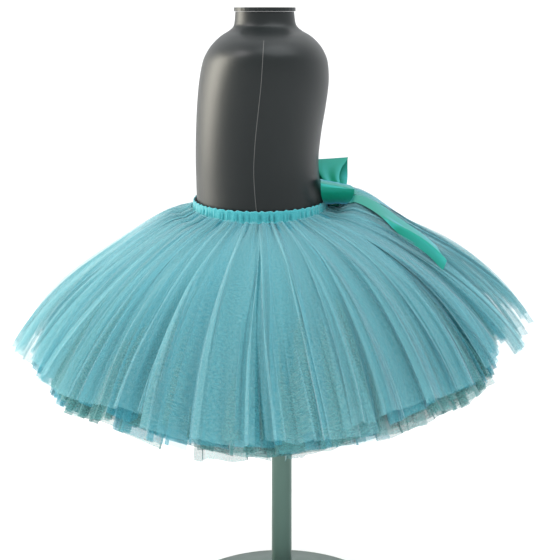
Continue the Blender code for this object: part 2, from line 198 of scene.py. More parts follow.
# Where the top plies stand up, behind the bow and in front. Angle and reach are round the waist in
# degrees, rise is in metres, and share and length say where on the way down. A ply takes a part of it that
# falls with depth.
PUFFS = (
    {"angle": 104.0, "reach": 34.0, "rise": 0.023, "share": 0.12, "length": 0.18},
    {"angle": -92.0, "reach": 44.0, "rise": 0.0065, "share": 0.10, "length": 0.20},
)
PUFF_START = 0.035
PUFF_EASE = 0.075
PUFF_AT_TOP = 1.15
PUFF_FALL = 0.65

# Casing. Rows run from inside the waist over the frill and down the outside: distance out from the waist,
# drop, gather depth and slit depth. Gathers are times round the waist and weight. Frill waves are height,
# times round the waist and drift.
CASING_SEED = 5
CASING_COLUMNS = 900
CASING_ROWS = (
    (0.0004, 0.0118, 0.0, 0.0),
    (0.0006, 0.0060, 0.0001, 0.0),
    (0.0008, 0.0010, 0.0003, 0.0),
    (0.0010, -0.0006, 0.0005, 0.0),
    (0.0016, -0.0013, 0.0006, 0.0),
    (0.0023, -0.0008, 0.0006, 0.0),
    (0.0026, 0.0006, 0.0004, 0.0),
    (0.0026, 0.0022, 0.0004, 0.0004),
    (0.0028, 0.0036, 0.0006, 0.0012),
    (0.0030, 0.0052, 0.0008, 0.0024),
    (0.0031, 0.0070, 0.0010, 0.0028),
    (0.0032, 0.0084, 0.0011, 0.0028),
    (0.0034, 0.0096, 0.0011, 0.0024),
    (0.0037, 0.0106, 0.0009, 0.0018),
    (0.0040, 0.0114, 0.0006, 0.0010),
)
CASING_GATHERS = ((47, 0.5), (61, 0.8), (73, 0.6), (97, 0.4), (131, 0.4), (173, 0.2))
CASING_DRIFT = 0.8
CASING_DRIFT_TIMES = 5
FRILL_WAVES = ((0.0005, 53, 1.1), (0.0003, 89, 0.0))
FRILL_DRIFT_TIMES = 7
FRILL_LEFT = 0.25
RUFFLE_START = 0.006
RUFFLE = 0.3
CASING_UV_SIZE = (0.12, 0.002)

# Ribbon bow. The knot is a squarish turn round the middle, 0.3 mm off the waistband.
RIBBON_WIDTH = 0.036
RIBBON_PINCH = 0.011
SHOULDER = 0.0037
TOUCH_GAP = 0.0003
KNOT_RISE = 0.0045
KNOT_HALF = Vector((0.0075, 0.0068, 0.0125))
KNOT_SQUARENESS = 0.5
KNOT_END_SHARE = 0.85
KNOT_LEVELS = 25
KNOT_SIDES = 72
KNOT_CREASE = 0.035
KNOT_CREASE_STEP = 3.1 * math.pi
KNOT_CREASE_DRIFT = 1.5
KNOT_CUT = (0.015, 0.075)
KNOT_UV_HALF = 0.012

# Loops. A path runs from the knot over the top, round the crease at the end and back underneath: rows of
# distance from the knot's centre along X, height above it, the ribbon's width there and its shift along Y.
# Lean is how far the upper side drops across the ribbon.
LOOPS = (
    {"name": "ribbon_loop_left", "replaces": "bow_loop_left", "side": 1.0, "lean": 0.0060, "cut": 0.095,
     "path": ((0.0079, 0.0100, 0.0140, 0.0), (0.0160, 0.0158, 0.0210, -0.002),
              (0.0260, 0.0186, 0.0290, -0.003), (0.0360, 0.0188, 0.0330, -0.001),
              (0.0450, 0.0174, 0.0360, 0.0), (0.0480, 0.0160, 0.0360, 0.0),
              (0.0488, 0.0138, 0.0360, 0.0), (0.0470, 0.0078, 0.0345, 0.0),
              (0.0415, 0.0012, 0.0310, 0.0), (0.0320, -0.0040, 0.0250, 0.0),
              (0.0200, -0.0064, 0.0180, 0.0), (0.0079, -0.0062, 0.0130, 0.0))},
    {"name": "ribbon_loop_right", "replaces": "bow_loop_right", "side": -1.0, "lean": -0.0030, "cut": 0.102,
     "path": ((0.0079, 0.0100, 0.0140, 0.0), (0.0170, 0.0172, 0.0190, -0.003),
              (0.0270, 0.0244, 0.0260, -0.0035), (0.0360, 0.0305, 0.0330, -0.0015),
              (0.0420, 0.0340, 0.0360, 0.0), (0.0448, 0.0350, 0.0360, 0.0),
              (0.0468, 0.0334, 0.0360, 0.0), (0.0468, 0.0262, 0.0360, 0.0),
              (0.0410, 0.0140, 0.0355, 0.0), (0.0320, 0.0056, 0.0320, 0.0),
              (0.0220, 0.0000, 0.0260, 0.0), (0.0130, -0.0044, 0.0170, 0.0),
              (0.0079, -0.0060, 0.0130, 0.0))},
)
LOOP_STATIONS = 81
LOOP_COLUMNS = 25
LOOP_CREASE_START = 0.35
LOOP_CREASE_EASE = 0.25
LOOP_RIPPLE = 0.0008
LOOP_RIPPLE_STEP = 9.0
LOOP_UV_LENGTH = 0.13

# Tails. Spread is how far round from the centre back the end lies, in degrees. Curl is how high the near
# half arches before its edge folds down, and sunk is how far the ribbon lies in the tulle.
TAILS = (
    {"name": "ribbon_tail_left", "replaces": "bow_tail_left", "side": 1.0, "length": 0.118,
     "spread": 23.0, "slant": -0.012, "curl": 0.010, "sunk": 0.0, "cut": 0.134},
    {"name": "ribbon_tail_right", "replaces": "bow_tail_right", "side": -1.0, "length": 0.106,
     "spread": 19.0, "slant": -0.012, "curl": 0.004, "sunk": 0.0030, "cut": 0.110},
)
# A tail starts raised at the knot, settles on the pleats' crests and has its full width from the flare on.
# Its near side is flat at first, then arches, and folds down from the fold's start.
TAIL_STATIONS = 70
TAIL_COLUMNS = 37
TAIL_START = 0.0128
TAIL_OFFSET = 0.0072
TAIL_RISE = 0.0150
TAIL_SETTLE = 0.030
TAIL_FLARE = 0.45
TAIL_RADIUS_GROWTH = 0.62
TAIL_CREST_SHARE = 0.6
TAIL_CLEARANCE = 0.0012
TAIL_WAVE = 0.0010
TAIL_WAVE_STEP = 9
TAIL_WAVE_PHASE = 1.0
TAIL_SINK_EASE = 0.3
TAIL_FLAT_SHARE = 0.1
TAIL_DRAWN_IN = 0.12
TAIL_CURL_START = 0.30
TAIL_CURL_EASE = 0.35
TAIL_ARCH = 0.35
TAIL_FOLD_START = 0.66
TAIL_FOLD_WIDTH = 0.24
TAIL_FOLD_POWER = 1.2

# Dress form rows: height above the waist, front, back, half width.
FORM_SECTIONS = (
    (-0.155, -0.0480, 0.0680, 0.0600),
    (-0.152, -0.0540, 0.0740, 0.0680),
    (-0.143, -0.0610, 0.0800, 0.0780),
    (-0.125, -0.0675, 0.0845, 0.0875),
    (-0.100, -0.0722, 0.0860, 0.0930),
    (-0.070, -0.0745, 0.0835, 0.0940),
    (-0.040, -0.0735, 0.0785, 0.0910),
    (-0.014, -0.0712, 0.0720, 0.0864),
    (0.000, -0.0703, 0.0703, 0.0850),
    (0.025, -0.0706, 0.0662, 0.0845),
    (0.050, -0.0708, 0.0644, 0.0856),
    (0.080, -0.0700, 0.0672, 0.0884),
    (0.110, -0.0682, 0.0720, 0.0925),
    (0.135, -0.0655, 0.0748, 0.0970),
    (0.155, -0.0615, 0.0735, 0.1000),
    (0.167, -0.0560, 0.0690, 0.0985),
    (0.176, -0.0490, 0.0625, 0.0890),
    (0.183, -0.0410, 0.0545, 0.0710),
    (0.188, -0.0330, 0.0460, 0.0500),
    (0.192, -0.0285, 0.0410, 0.0395),
    (0.197, -0.0268, 0.0385, 0.0360),
    (0.208, -0.0258, 0.0372, 0.0345),
)
FORM_ROWS = 127
FORM_SIDES = 144
FORM_SHARP_ANGLE = 50

# The form's side seam: its rows are an angle from its middle in radians, and a height off the form.
SEAM_ANGLE = -0.05
SEAM_TOP = 0.180
SEAM_ROWS = ((-0.005, 0.00002), (0.0, 0.00042), (0.005, 0.00002))

# Turned parts of the stand, as radius and height.
TURNED_SIDES = 128
TURNED_SHARP_ANGLE = 40
POLE_PROFILE = ((0.0, 0.0103), (0.012, 0.0103), (0.012, 0.3384), (0.0, 0.3384))
BASE_PROFILE = (
    (0.0, 0.0), (0.1385, 0.0), (0.1397, 0.0004), (0.140, 0.0014), (0.140, 0.0038), (0.1394, 0.0047),
    (0.1385, 0.0052), (0.080, 0.0086), (0.030, 0.0117), (0.0240, 0.0126), (0.0218, 0.0142), (0.021, 0.0165),
    (0.021, 0.0330), (0.0205, 0.0338), (0.0195, 0.034), (0.0123, 0.034), (0.0123, 0.010), (0.0, 0.010),
)

# The backdrop: a floor that bends up into a wall.
FLOOR_FRONT = 1.6
FLOOR_BACK = -3.2
FLOOR_BEND = 0.9
FLOOR_BEND_START = 0.1
FLOOR_BEND_ROWS = 14
FLOOR_HALF_WIDTH = 5.0
FLOOR_GAP = 0.0004
WALL_TOP = 4.0

LIGHTS = (
    {"name": "overhead", "place": (0.5, 0.7, 2.5), "target": (0.0, 0.0, 0.4), "size": 2.4, "power": 44.0,
     "colour": (0.94, 0.98, 1.0), "seen": True},
    {"name": "side", "place": (0.3, -1.9, 2.3), "target": (0.0, -0.1, 0.4), "size": 1.2, "power": 26.0,
     "colour": (1.0, 0.96, 0.98), "seen": False},
    {"name": "front", "place": (-0.9, -2.3, 0.9), "target": (0.0, 0.0, 0.4), "size": 1.3, "power": 58.0,
     "colour": (1.0, 0.95, 0.82), "seen": False},
)
DAYLIGHT = (0.96, 0.98, 1.0, 1.0)
DAYLIGHT_STRENGTH = 0.96
CAMERA_PLACE = (1.20, -0.024, 0.705)
CAMERA_AIM = Vector((-0.9714, 0.0178, -0.2367))
CAMERA_LENS = 70.07
CAMERA_SENSOR = 36.0


def new_material(name):
    made = bpy.data.materials.new(name)
    made.use_nodes = True
    return made, made.node_tree.nodes, made.node_tree.links, made.node_tree.nodes["Principled BSDF"]


def mixed_colour(nodes, links, factor, first, second, target):
    """Feeds target a colour that runs from first to second as factor goes from 0 to 1."""
    mix = nodes.new("ShaderNodeMix")
    mix.data_type = "RGBA"
    links.new(factor, mix.inputs["Factor"])
    mix.inputs["A"].default_value = (*first, 1.0)
    mix.inputs["B"].default_value = (*second, 1.0)
    links.new(mix.outputs["Result"], target)


def stretched(nodes, links, value, low, high):
    """The value with low to high spread over 0 to 1."""
    span = nodes.new("ShaderNodeMapRange")
    span.inputs["From Min"].default_value = low
    span.inputs["From Max"].default_value = high
    links.new(value, span.inputs["Value"])
    return span.outputs["Result"]


def net_material(name, shade, light, alpha, sheen):
    """Tulle: a fine net, so partly see-through, with a bloom of light at the edges of its folds."""
    made, nodes, links, shader = new_material(name)
    place = nodes.new("ShaderNodeTexCoord")
    net = nodes.new("ShaderNodeTexNoise")
    net.inputs["Scale"].default_value = 620.0
    net.inputs["Detail"].default_value = 2.0
    links.new(place.outputs["UV"], net.inputs["Vector"])
    tone = stretched(nodes, links, net.outputs["Fac"], 0.36, 0.64)
    mixed_colour(nodes, links, tone, shade, light, shader.inputs["Base Color"])
    shader.inputs["Alpha"].default_value = alpha
    shader.inputs["Roughness"].default_value = 0.75
    shader.inputs["Specular IOR Level"].default_value = 0.25
    shader.inputs["Sheen Weight"].default_value = sheen
    shader.inputs["Sheen Roughness"].default_value = 0.40
    shader.inputs["Sheen Tint"].default_value = (1.0, 0.88, 0.96, 1.0)
    return made


def satin_material():
    """Satin ribbon: a green cloth whose shine is tinted blue, a painted reflection of a blue sky."""
    made, nodes, links, shader = new_material("satin ribbon")
    place = nodes.new("ShaderNodeTexCoord")
    weave = nodes.new("ShaderNodeTexNoise")
    weave.inputs["Scale"].default_value = 90.0
    links.new(place.outputs["UV"], weave.inputs["Vector"])
    mixed_colour(nodes, links, weave.outputs["Fac"], (0.0, 0.205, 0.075), (0.0, 0.25, 0.115),
                 shader.inputs["Base Color"])
    shader.inputs["Roughness"].default_value = 0.36
    shader.inputs["IOR"].default_value = 1.65
    shader.inputs["Specular IOR Level"].default_value = 1.0
    # Blue specular and sheen tints: painted reflection of a blue sky; the lamps here are near white.
    shader.inputs["Specular Tint"].default_value = (0.17, 0.68, 1.0, 1.0)
    shader.inputs["Sheen Weight"].default_value = 1.0
    shader.inputs["Sheen Roughness"].default_value = 0.35
    shader.inputs["Sheen Tint"].default_value = (0.16, 0.58, 1.0, 1.0)
    return made


def plain_material(name, colour, roughness, metallic=0.0, specular=0.5):
    made, _, _, shader = new_material(name)
    shader.inputs["Base Color"].default_value = (*colour, 1.0)
    shader.inputs["Roughness"].default_value = roughness
    shader.inputs["Metallic"].default_value = metallic
    shader.inputs["Specular IOR Level"].default_value = specular
    return made


def grid_faces(lines, rows, around=False):
    """Faces of a grid of points listed line by line, turned so that they face the normals' side."""
    line = np.arange(lines if around else lines - 1)
    row = np.arange(rows - 1)
    here = line[:, None] * rows + row[None, :]
    there = ((line + 1) % lines)[:, None] * rows + row[None, :]
    return np.stack([here, here + 1, there + 1, there], -1).reshape(-1, 4)


def add_mesh(name, points, faces, finish, uv=None, more_faces=()):
    mesh = bpy.data.meshes.new(name)
    mesh.from_pydata(np.asarray(points).tolist(), [], np.asarray(faces).tolist() + list(more_faces))
    if uv is not None:
        layer = mesh.uv_layers.new(name="cloth")
        corners = np.zeros(len(mesh.loops), int)
        mesh.loops.foreach_get("vertex_index", corners)
        layer.data.foreach_set("uv", np.asarray(uv)[corners].ravel())
    mesh.materials.append(finish)
    mesh.shade_smooth()
    mesh.update()
    made = bpy.data.objects.new(name, mesh)
    bpy.context.scene.collection.objects.link(made)
    return made


def eased(value):
    """A smooth step from 0 to 1 as the value goes from 0 to 1."""
    value = np.clip(value, 0.0, 1.0)
    return value * value * (3 - 2 * value)


def degrees_from(angle, middle):
    """How far an angle in radians lies past a middle in degrees, from -180 to 180."""
    return (np.degrees(angle) - middle + 180) % 360 - 180


def smooth_path(rows, count):
    """A smooth curve through rows of numbers, at evenly spaced places."""
    table = np.array(rows)
    step = np.linspace(0, len(table) - 1, count)
    low = np.clip(np.floor(step).astype(int), 0, len(table) - 2)
    part = (step - low)[:, None]
    before = table[np.maximum(low - 1, 0)]
    first = table[low]
    second = table[low + 1]
    after = table[np.minimum(low + 2, len(table) - 1)]
    return 0.5 * (
        2 * first
        + (second - before) * part
        + (2 * before - 5 * first + 4 * second - after) * part ** 2
        + (3 * first - before - 3 * second + after) * part ** 3
    )


def waist_frame(angle):
    """Points on the waist's outline, grown to clear the form, and the directions straight out of it."""
    cos = np.cos(angle)
    sin = np.sin(angle)
    out = np.stack([cos / WAIST_HALF_WIDTH, sin / WAIST_HALF_DEPTH, 0 * angle], -1)
    out /= np.linalg.norm(out, axis=-1, keepdims=True)
    point = np.stack([
        WAIST_HALF_WIDTH * cos,
        WAIST_CENTRE_Y + WAIST_HALF_DEPTH * sin,
        WAIST_HEIGHT + SKIRT_RISE + 0 * angle,
    ], -1)
    return point + out * FORM_CLEARANCE, out


def layer_surface(layer, angle, share):
    """Points on the middle of a layer and its upward normals. share is 0 at the casing and 1 at the hem."""
    waist, out = waist_frame(angle)
    length = layer["length"] + BACK_LENGTHENING * np.sin(angle)
    length = length + layer["side"] * np.cos(angle) ** 2 - layer["quarter"] * np.sin(2 * angle) ** 2
    length = length + HEM_WAVE * np.sin(HEM_WAVES * angle + layer["turn"]) * share
    length = length + layer["front"] * np.maximum(0.0, -np.sin(angle)) ** END_SHARPNESS
    length = length + layer["back"] * np.maximum(0.0, np.sin(angle)) ** END_SHARPNESS
    first = np.radians(layer["start"] - layer["start_lift"] * np.sin(angle))
    last = np.radians(layer["end"] - layer["end_lift"] * np.sin(angle))
    here = first + (last - first) * share
    run = length * (np.sin(here) - np.sin(first)) / (last - first)
    fall = length * (np.cos(first) - np.cos(here)) / (last - first)
    point = waist + out * (layer["out"] + run)[..., None]
    point[..., 2] -= layer["drop"] + fall
    normal = out * np.sin(here)[..., None]
    normal[..., 2] += np.cos(here)
    return point, normal


def mixed_layer(depth):
    """The layer at a depth from 0, the top one, to 2, the under one."""
    low = min(int(max(depth, 0.0)), 1)
    part = depth - low
    first = LAYERS[LAYER_ORDER[low]]
    second = LAYERS[LAYER_ORDER[low + 1]]
    return {key: first[key] * (1 - part) + second[key] * part for key in first}


def part_pleats(layer):
    """The part's own pleats: the angle where each starts, and how high each stands."""
    k = np.arange(layer["pleats"])
    widths = 1 + PLEAT_WIDTH_RANGE * np.sin(PLEAT_WIDTH_STEP * k + layer["turn"])
    widths = widths + PLEAT_JITTER_RANGE * np.sin(PLEAT_JITTER_STEP * k)
    edges = np.concatenate([[0.0], np.cumsum(widths)]) * TAU / widths.sum() + layer["turn"]
    heights = 1 - PLEAT_HEIGHT_RANGE * (1 - np.sin(PLEAT_HEIGHT_STEP * k + layer["turn"]))
    return edges, heights


def free_pleats(count, rng):
    """Pleats of a ply's own, as part_pleats gives them."""
    widths = rng.uniform(*FREE_PLEAT_WIDTH, count)
    edges = np.concatenate([[0.0], np.cumsum(widths)]) * TAU / widths.sum() + rng.uniform(0, TAU)
    heights = rng.uniform(*FREE_PLEAT_HEIGHT, count)
    return edges, heights


def angle_at(edges, place):
    """The angle at a place counted in pleats, on through any number of turns."""
    count = len(edges) - 1
    whole = np.floor(place / count)
    return np.interp(place - whole * count, np.arange(count + 1), edges) + whole * TAU


def creases(angle, share):
    """How far the listed creases raise the cloth."""
    raised = 0.0
    for row in CREASES:
        for turn in (0.0, HIDDEN_SIDE_TURN):
            away = degrees_from(angle, row["angle"] + turn)
            reach = np.where(away < 0, row["front"], row["back"])
            grown = eased((share - row["start"]) / CREASE_EASE)
            raised = raised + row["rise"] * np.exp(-(away / reach) ** 2) * grown
    return raised


def puff(angle, share):
    """How far the top ply stands up; the plies under it rise less."""
    total = 0.0
    grown = eased((share - PUFF_START) / PUFF_EASE)
    for row in PUFFS:
        away = degrees_from(angle, row["angle"])
        down = np.exp(-((share - row["share"]) / row["length"]) ** 2)
        total = total + row["rise"] * grown * down * np.exp(-(away / row["reach"]) ** 2)
    return total


def waist_slits():
    """Where the gathers part: angle, half width, strength, and how far down each reaches."""
    rng = np.random.default_rng(SLIT_SEED)
    found = []
    angle = 0.0
    while angle < TAU:
        width = rng.uniform(*SLIT_WIDTH)
        strength = rng.uniform(*SLIT_STRENGTH)
        reach = rng.uniform(*SLIT_REACH)
        found.append((angle, width, strength, reach))
        angle += rng.uniform(*SLIT_GAP)
    return found


def slit_depth(slits, angle, share):
    """How deep the slits are at a place, as a share of their full depth."""
    total = 0.0
    for middle, width, strength, reach in slits:
        away = (angle - middle + math.pi) % TAU - math.pi
        total = total + strength * np.exp(-(away / width) ** 2 - share / reach)
    return total


def folded_place(ply, traits, chance, place, pleat, share, centre):
    """Where the cloth lies once its pleats are folded, counted in pleats."""
    fold = ply["overlap"] * traits["fold"][pleat]
    fold = GATHER_FOLD + (fold - GATHER_FOLD) * np.minimum(1.0, share / FOLD_OPEN)
    moved = centre + (place - centre) * (1 + chance["spread"] * share)
    return moved - fold / TAU * np.sin(TAU * place)


def pleat_relief(ply, layer, traits, chance, place, pleat, share):
    """Height of the pleats, with half pleats and ripples that grow towards the hem."""
    onset = traits["onset"][pleat]
    grown = eased((share - onset) / (PLEAT_FULL - onset))
    relief = (WAIST_RELIEF + layer["hem_relief"] * grown) * ply["relief"]
    relief = relief * traits["height"][pleat] * traits["swell"][pleat]
    small = eased((share - traits["half_onset"][pleat]) / RIPPLE_EASE) * layer["hem_relief"]
    height = relief * np.sin(TAU * place)
    height = height + HALF_PLEAT * small * np.sin(TAU * 2 * place + HALF_PLEAT_STEP * pleat)
    return height + RIPPLE * small * np.sin(TAU * chance["ripples"] * place + chance["ripple_phase"])


def gather_relief(angle, share):
    """Height of the fine gathers, which have round crests and narrow valleys."""
    phase = GATHERS * angle
    for weight, times, turn in GATHER_DRIFTS:
        phase = phase + weight * np.sin(times * angle + turn)
    depth = sum(deep * np.exp(-share / reach) for deep, reach in GATHER_DEPTHS)
    crests = 2 * np.sqrt(0.5 + 0.5 * np.sin(phase)) - 1
    return depth * crests * np.minimum(1.0, GATHER_HELD + share / GATHER_RELEASE)


def strip_points(ply, layer, edges, traits, slits, strip, rng):
    """Points and shares of one strip, line by line from the casing to its square-cut end."""
    chance = {key: rng.uniform(*limits) for key, limits in STRIP_CHANCE.items()}
    columns = ply["columns"]
    across = np.linspace(-0.5, 0.5, columns)
    span = len(traits["height"]) / ply["strips"]
    centre = (strip + 0.5) * span
    place = (centre + across * span * chance["width"])[:, None]
    pleat = np.floor(place).astype(int) % len(traits["height"])
    cut = 1 + chance["cut"] + chance["slant"] * across * 2
    share = np.linspace(0, 1, STRIP_ROWS)[None, :] ** ROW_CROWDING * cut[:, None]

    moved = folded_place(ply, traits, chance, place, pleat, share, centre)
    wave = TAU * ply["lines"] * place + LINE_DRIFT * np.sin(LINE_DRIFT_STEP * place + ply["seed"])
    drawn = traits["line_fold"][pleat] * eased((share - traits["line_onset"][pleat]) / LINE_EASE)
    if ply["lines"]:
        moved = moved - drawn / (TAU * ply["lines"]) * np.sin(wave)
    sway = math.radians(chance["lean"]) * share
    sway = sway + SWAY * np.sin(SWAY_STEP * share + chance["sway_phase"]) * share
    angle = angle_at(edges, moved) + sway

    height = pleat_relief(ply, layer, traits, chance, place, pleat, share)
    height = height + gather_relief(angle_at(edges, place), share)
    height = height + START_RISE * (1 + np.sin(angle) ** 2) * np.exp(-share / START_REACH)
    height = height - SLIT_DEPTH * slit_depth(slits, angle, share)
    height = height + chance["lift"] * ply["stray"] * share
    if ply["lines"]:
        height = height + LINE_RISE * drawn * np.sin(wave)
    if ply["depth"] < CREASED_DEPTH:
        height = height + creases(angle, share)
    puffed = min(1.0, max(0.0, PUFF_AT_TOP - PUFF_FALL * ply["depth"]))
    height = height + puffed * puff(angle, share)

    point, normal = layer_surface(layer, angle, share)
    side = math.cos(float(angle[columns // 2, -1])) ** 2
    stray = ply["scatter"] * chance["end"]
    stray = stray + ply["droop"] * side + ply["dip"] * (1 - side) ** 2
    end = mixed_layer(min(DEEPEST_END, ply["depth"] + stray))
    end_point, _ = layer_surface(end, angle, share)
    point = point + (end_point - point) * (share ** DROOP_POWER)[..., None]
    return point + normal * height[..., None], share


def build_ply(ply, finish, slits):
    """One ply: gathered strips side by side, each in soft knife pleats that open towards its end."""
    layer = mixed_layer(ply["depth"])
    rng = np.random.default_rng(ply["seed"])
    if ply["pleats"]:
        edges, heights = free_pleats(ply["pleats"], rng)
    else:
        edges, heights = part_pleats(LAYERS[LAYER_ORDER[round(ply["depth"])]])
    traits = {key: rng.uniform(*limits, len(heights)) for key, limits in PLEAT_CHANCE.items()}
    traits["onset"] = traits["onset"] ** ONSET_POWER
    traits["height"] = heights
    columns = ply["columns"]
    across = np.linspace(-0.5, 0.5, columns)
    width = ply["flat"] / ply["strips"]
    block = grid_faces(columns, STRIP_ROWS)
    points = []
    uvs = []
    faces = []
    for strip in range(ply["strips"]):
        strip_grid, share = strip_points(ply, layer, edges, traits, slits, strip, rng)
        u = np.broadcast_to((across * width + strip * UV_STEP)[:, None], share.shape)
        points.append(strip_grid.reshape(-1, 3))
        uvs.append(np.stack([u, share * layer["length"]], -1).reshape(-1, 2))
        faces.append(block + strip * columns * STRIP_ROWS)
    return add_mesh(ply["name"], np.concatenate(points), np.concatenate(faces), finish, np.concatenate(uvs))


def build_casing(finish, slits):
    """The casing over the elastic: uneven gathers, a small frill above and slits below."""
    rng = np.random.default_rng(CASING_SEED)
    angle = np.linspace(0, TAU, CASING_COLUMNS, endpoint=False)
    gather = np.zeros(CASING_COLUMNS)
    for times, weight in CASING_GATHERS:
        drift = CASING_DRIFT * np.sin(CASING_DRIFT_TIMES * angle + times)
        gather += weight * np.sin(times * angle + rng.uniform(0, TAU) + drift)
    gather /= np.abs(gather).max()
    slit = np.minimum(1.0, slit_depth(slits, angle, 0.0))
    frill = sum(
        height * np.sin(times * angle + drift * np.sin(FRILL_DRIFT_TIMES * angle))
        for height, times, drift in FRILL_WAVES
    )
    waist, out = waist_frame(angle)
    points = np.zeros((CASING_COLUMNS, len(CASING_ROWS), 3))
    for row, (away, drop, depth, slit_share) in enumerate(CASING_ROWS):
        points[:, row] = waist + out * (away + depth * gather - slit_share * slit)[:, None]
        raised = frill if drop < 0 else FRILL_LEFT * frill
        points[:, row, 2] -= drop - raised + max(0.0, drop - RUFFLE_START) * RUFFLE * gather
    u = angle[:, None] * CASING_UV_SIZE[0]
    v = np.arange(len(CASING_ROWS))[None, :] * CASING_UV_SIZE[1]
    uv = np.stack(np.broadcast_arrays(u, v), -1)
    faces = grid_faces(CASING_COLUMNS, len(CASING_ROWS), around=True)
    return add_mesh("gathered_casing", points.reshape(-1, 3), faces, finish, uv.reshape(-1, 2))


def knot_centre():
    """Where the knot sits: outside the casing at the centre back, a seam's gap off it."""
    waist, out = waist_frame(np.array([math.pi / 2]))
    centre = Vector(waist[0]) + Vector(out[0]) * (SHOULDER + TOUCH_GAP + KNOT_HALF.y)
    centre.z += KNOT_RISE
    return centre


def rounded(value):
    """A sine or cosine pressed towards a rounded square's outline."""
    return math.copysign(abs(value) ** KNOT_SQUARENESS, value)


def build_knot(finish):
    """The ribbon's turn round the middle, with soft creases along it."""
    centre = knot_centre()
    points = []
    uvs = []
    for level in range(KNOT_LEVELS):
        across = -1 + 2 * level / (KNOT_LEVELS - 1)
        swell = KNOT_END_SHARE + (1 - KNOT_END_SHARE) * math.sqrt(max(0.0, 1 - across ** 2))
        for i in range(KNOT_SIDES):
            angle = TAU * i / KNOT_SIDES
            phase = KNOT_CREASE_STEP * across + KNOT_CREASE_DRIFT * math.sin(angle)
            crease = 1 + KNOT_CREASE * math.cos(phase)
            y = rounded(math.cos(angle)) * KNOT_HALF.y * swell * crease
            z = rounded(math.sin(angle)) * KNOT_HALF.z * swell * crease
            points.append(centre + Vector((across * KNOT_HALF.x, y, z)))
            uvs.append((across * KNOT_UV_HALF, KNOT_CUT[1] * i / KNOT_SIDES))
    faces = grid_faces(KNOT_LEVELS, KNOT_SIDES)
    closing = []
    for level in range(KNOT_LEVELS - 1):
        first = level * KNOT_SIDES
        last = first + KNOT_SIDES - 1
        closing.append((last, first, first + KNOT_SIDES, last + KNOT_SIDES))
    return add_mesh("ribbon_knot", points, faces, finish, uvs, closing)


def build_loop(loop, finish):
    """A ribbon loop, creased at its end and where the knot gathers it."""
    centre = knot_centre()
    rows = smooth_path(loop["path"], LOOP_STATIONS)
    points = []
    uvs = []
    for station, (x, z, width, shift) in enumerate(rows):
        turn = station / (LOOP_STATIONS - 1)
        pinch = (RIBBON_WIDTH - width) / RIBBON_WIDTH
        upper = 1 - eased((turn - LOOP_CREASE_START) / LOOP_CREASE_EASE)
        for j in range(LOOP_COLUMNS):
            across = j / (LOOP_COLUMNS - 1) - 0.5
            lift = LOOP_RIPPLE * pinch * math.sin(across * LOOP_RIPPLE_STEP + loop["side"])
            lift = lift - loop["lean"] * upper * across
            points.append(centre + Vector((loop["side"] * x, across * width + shift, z + lift)))
            uvs.append((across * RIBBON_WIDTH, turn * LOOP_UV_LENGTH))
    return add_mesh(loop["name"], points, grid_faces(LOOP_STATIONS, LOOP_COLUMNS), finish, uvs)


def tail_clearance(tail, layer, angle, distance, along, outer):
    """How far a tail lies above the top layer's middle."""
    share = distance / layer["length"]
    settled = TAIL_RISE * np.exp((TAIL_START - distance) / TAIL_SETTLE)
    clearance = WAIST_RELIEF + TAIL_CREST_SHARE * layer["hem_relief"] * share + TAIL_CLEARANCE
    clearance = clearance + np.maximum(settled, puff(angle, share))
    clearance = clearance + TAIL_WAVE * np.sin(TAIL_WAVE_STEP * along + TAIL_WAVE_PHASE) * along
    clearance = clearance - tail["sunk"] * eased(along / TAIL_SINK_EASE)
    bend = eased((along - TAIL_CURL_START) / TAIL_CURL_EASE)
    arch = TAIL_ARCH * np.minimum(1.0, 2 * outer)
    fold = (np.maximum(0.0, outer - TAIL_FOLD_START) / TAIL_FOLD_WIDTH) ** TAIL_FOLD_POWER
    return clearance + tail["curl"] * bend * (arch - fold)


def build_tail(tail, finish):
    """A ribbon end that lies on the crests of the tulle, with its near edge curled down."""
    layer = LAYERS["top"]
    along = np.linspace(0, 1, TAIL_STATIONS)[:, None]
    across = np.linspace(0.5, -0.5, TAIL_COLUMNS)[None, :]
    width = RIBBON_PINCH + (RIBBON_WIDTH - RIBBON_PINCH) * np.minimum(1.0, along / TAIL_FLARE)
    distance = TAIL_START + along * (tail["length"] + tail["side"] * tail["slant"] * across * 2)
    away = math.radians(tail["spread"]) * along + TAIL_OFFSET / (WAIST_HALF_WIDTH + distance)
    outer = np.clip(-across * tail["side"] * 2 - TAIL_FLAT_SHARE, 0, 1)
    radius = WAIST_HALF_WIDTH + TAIL_RADIUS_GROWTH * distance
    angle = math.pi / 2 - tail["side"] * away
    angle = angle + across * width / radius * (1 - TAIL_DRAWN_IN * outer ** 2 * along)
    point, normal = layer_surface(layer, angle, distance / layer["length"])
    clearance = tail_clearance(tail, layer, angle, distance, along, outer)
    points = (point + normal * clearance[..., None]).reshape(-1, 3)
    uv = np.stack(np.broadcast_arrays(across * RIBBON_WIDTH, distance + 0 * across), -1).reshape(-1, 2)
    return add_mesh(tail["name"], points, grid_faces(TAIL_STATIONS, TAIL_COLUMNS), finish, uv)


def form_point(row, angle, grown=0.0):
    """A point on the form at one of its rows, or just off it."""
    rise, front, back, half_width = row
    x = (half_width + grown) * math.cos(angle)
    y = WAIST_CENTRE_Y + (front + back) / 2 + ((back - front) / 2 + grown) * math.sin(angle)
    return (x, y, WAIST_HEIGHT + rise)


def build_form(finish):
    rows = smooth_path(FORM_SECTIONS, FORM_ROWS)
    points = [form_point(row, TAU * i / FORM_SIDES) for i in range(FORM_SIDES) for row in rows]
    faces = [tuple(reversed(face)) for face in grid_faces(FORM_SIDES, FORM_ROWS, around=True).tolist()]
    caps = [
        [i * FORM_ROWS for i in reversed(range(FORM_SIDES))],
        [i * FORM_ROWS + FORM_ROWS - 1 for i in range(FORM_SIDES)],
    ]
    made = add_mesh("smooth_form", points, faces, finish, None, caps)
    made.data.set_sharp_from_angle(angle=math.radians(FORM_SHARP_ANGLE))
    return made


